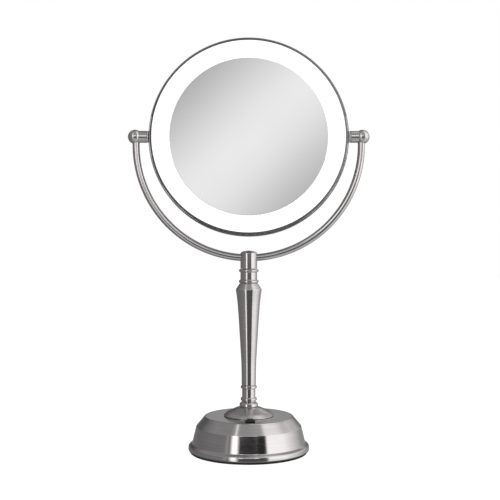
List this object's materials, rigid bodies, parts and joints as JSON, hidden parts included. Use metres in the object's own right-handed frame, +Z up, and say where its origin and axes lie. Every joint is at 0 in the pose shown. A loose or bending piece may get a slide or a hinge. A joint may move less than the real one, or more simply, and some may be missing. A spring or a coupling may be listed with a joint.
{
  "type": "lighted vanity mirror",
  "caption": "Round two-sided make-up mirror with a light ring on each face, tilting in a half-circle yoke on a turned pedestal with a bell-shaped base.",
  "frame": {"origin": "on the pedestal's axis, at the underside of the foot ring (the surface it stands on)", "axes": "+Z up along the pedestal; the plain mirror faces -Y; +X to the right as seen from the front, along the tilt axis"},
  "size_m": [0.2712, 0.1352, 0.4649],
  "materials": {
    "satin_nickel": "brushed satin nickel plate",
    "steel": "zinc-plated steel",
    "black_plastic": "moulded black ABS",
    "white_plastic": "moulded white ABS",
    "diffuser": "opal acrylic, lit from behind",
    "mirror_glass": "silvered glass",
    "rubber": "non-slip rubber",
    "cast_iron": "painted cast weight",
    "brass": "turned brass",
    "nylon": "natural nylon",
    "cell_jacket": "shrink jacket on a dry cell",
    "circuit_board": "solder-masked glass epoxy board",
    "lead_jacket": "PVC wire jacket"
  },
  "bodies": {
    "stand": {"foot_ring": "rubber", "base_shell": "satin_nickel", "base_plate": "black_plastic", "plate_screw_1": "steel", "plate_lug_1": "steel", "plate_screw_2": "steel", "plate_lug_2": "steel", "plate_screw_3": "steel", "plate_lug_3": "steel", "battery_tray": "black_plastic", "battery_1": "cell_jacket", "battery_2": "cell_jacket", "battery_3": "cell_jacket", "battery_4": "cell_jacket", "contact_strip_front": "steel", "contact_strip_back": "steel", "base_weight": "cast_iron", "switch_body": "black_plastic", "driver_board": "circuit_board", "base_rosette": "satin_nickel", "foot_collar": "satin_nickel", "lower_neck": "satin_nickel", "column": "satin_nickel", "upper_neck": "satin_nickel", "yoke_hub": "satin_nickel", "tie_rod": "steel", "tie_rod_washer": "steel", "tie_rod_nut": "steel", "hub_set_screw": "steel", "yoke_tube": "satin_nickel", "stand_lead": "lead_jacket", "elbow_left": "satin_nickel", "pivot_pin_left": "steel", "friction_washer_left": "nylon", "spring_washer_left": "steel", "pivot_nut_left": "brass", "elbow_right": "satin_nickel", "pivot_pin_right": "steel", "friction_washer_right": "nylon", "spring_washer_right": "steel", "pivot_nut_right": "brass"},
    "head": {"casing_ring": "satin_nickel", "front_bezel": "satin_nickel", "rear_bezel": "satin_nickel", "front_diffuser": "diffuser", "rear_diffuser": "diffuser", "front_mirror": "mirror_glass", "rear_mirror": "mirror_glass", "mirror_frame": "white_plastic", "led_strip_upper": "white_plastic", "led_strip_lower": "white_plastic", "pivot_block_left": "white_plastic", "pivot_block_right": "white_plastic", "head_lead": "lead_jacket"},
    "switch": {"switch_knob": "black_plastic"},
    "door": {"battery_door": "black_plastic"}
  },
  "joints": [
    {"name": "head_tilt", "type": "hinge", "parent": "stand", "child": "head", "pos_m": [0, 0, 0.3525], "axis": [1, 0, 0], "range_deg": [-176.5, 183.5]},
    {"name": "switch_slide", "type": "slide", "parent": "stand", "child": "switch", "axis": [1, 0, 0], "range_m": [-0.0036, 0]},
    {"name": "door_hinge", "type": "hinge", "parent": "stand", "child": "door", "pos_m": [0, 0.0255, 0.0029], "axis": [1, 0, 0], "range_deg": [0, 95]}
  ]
}
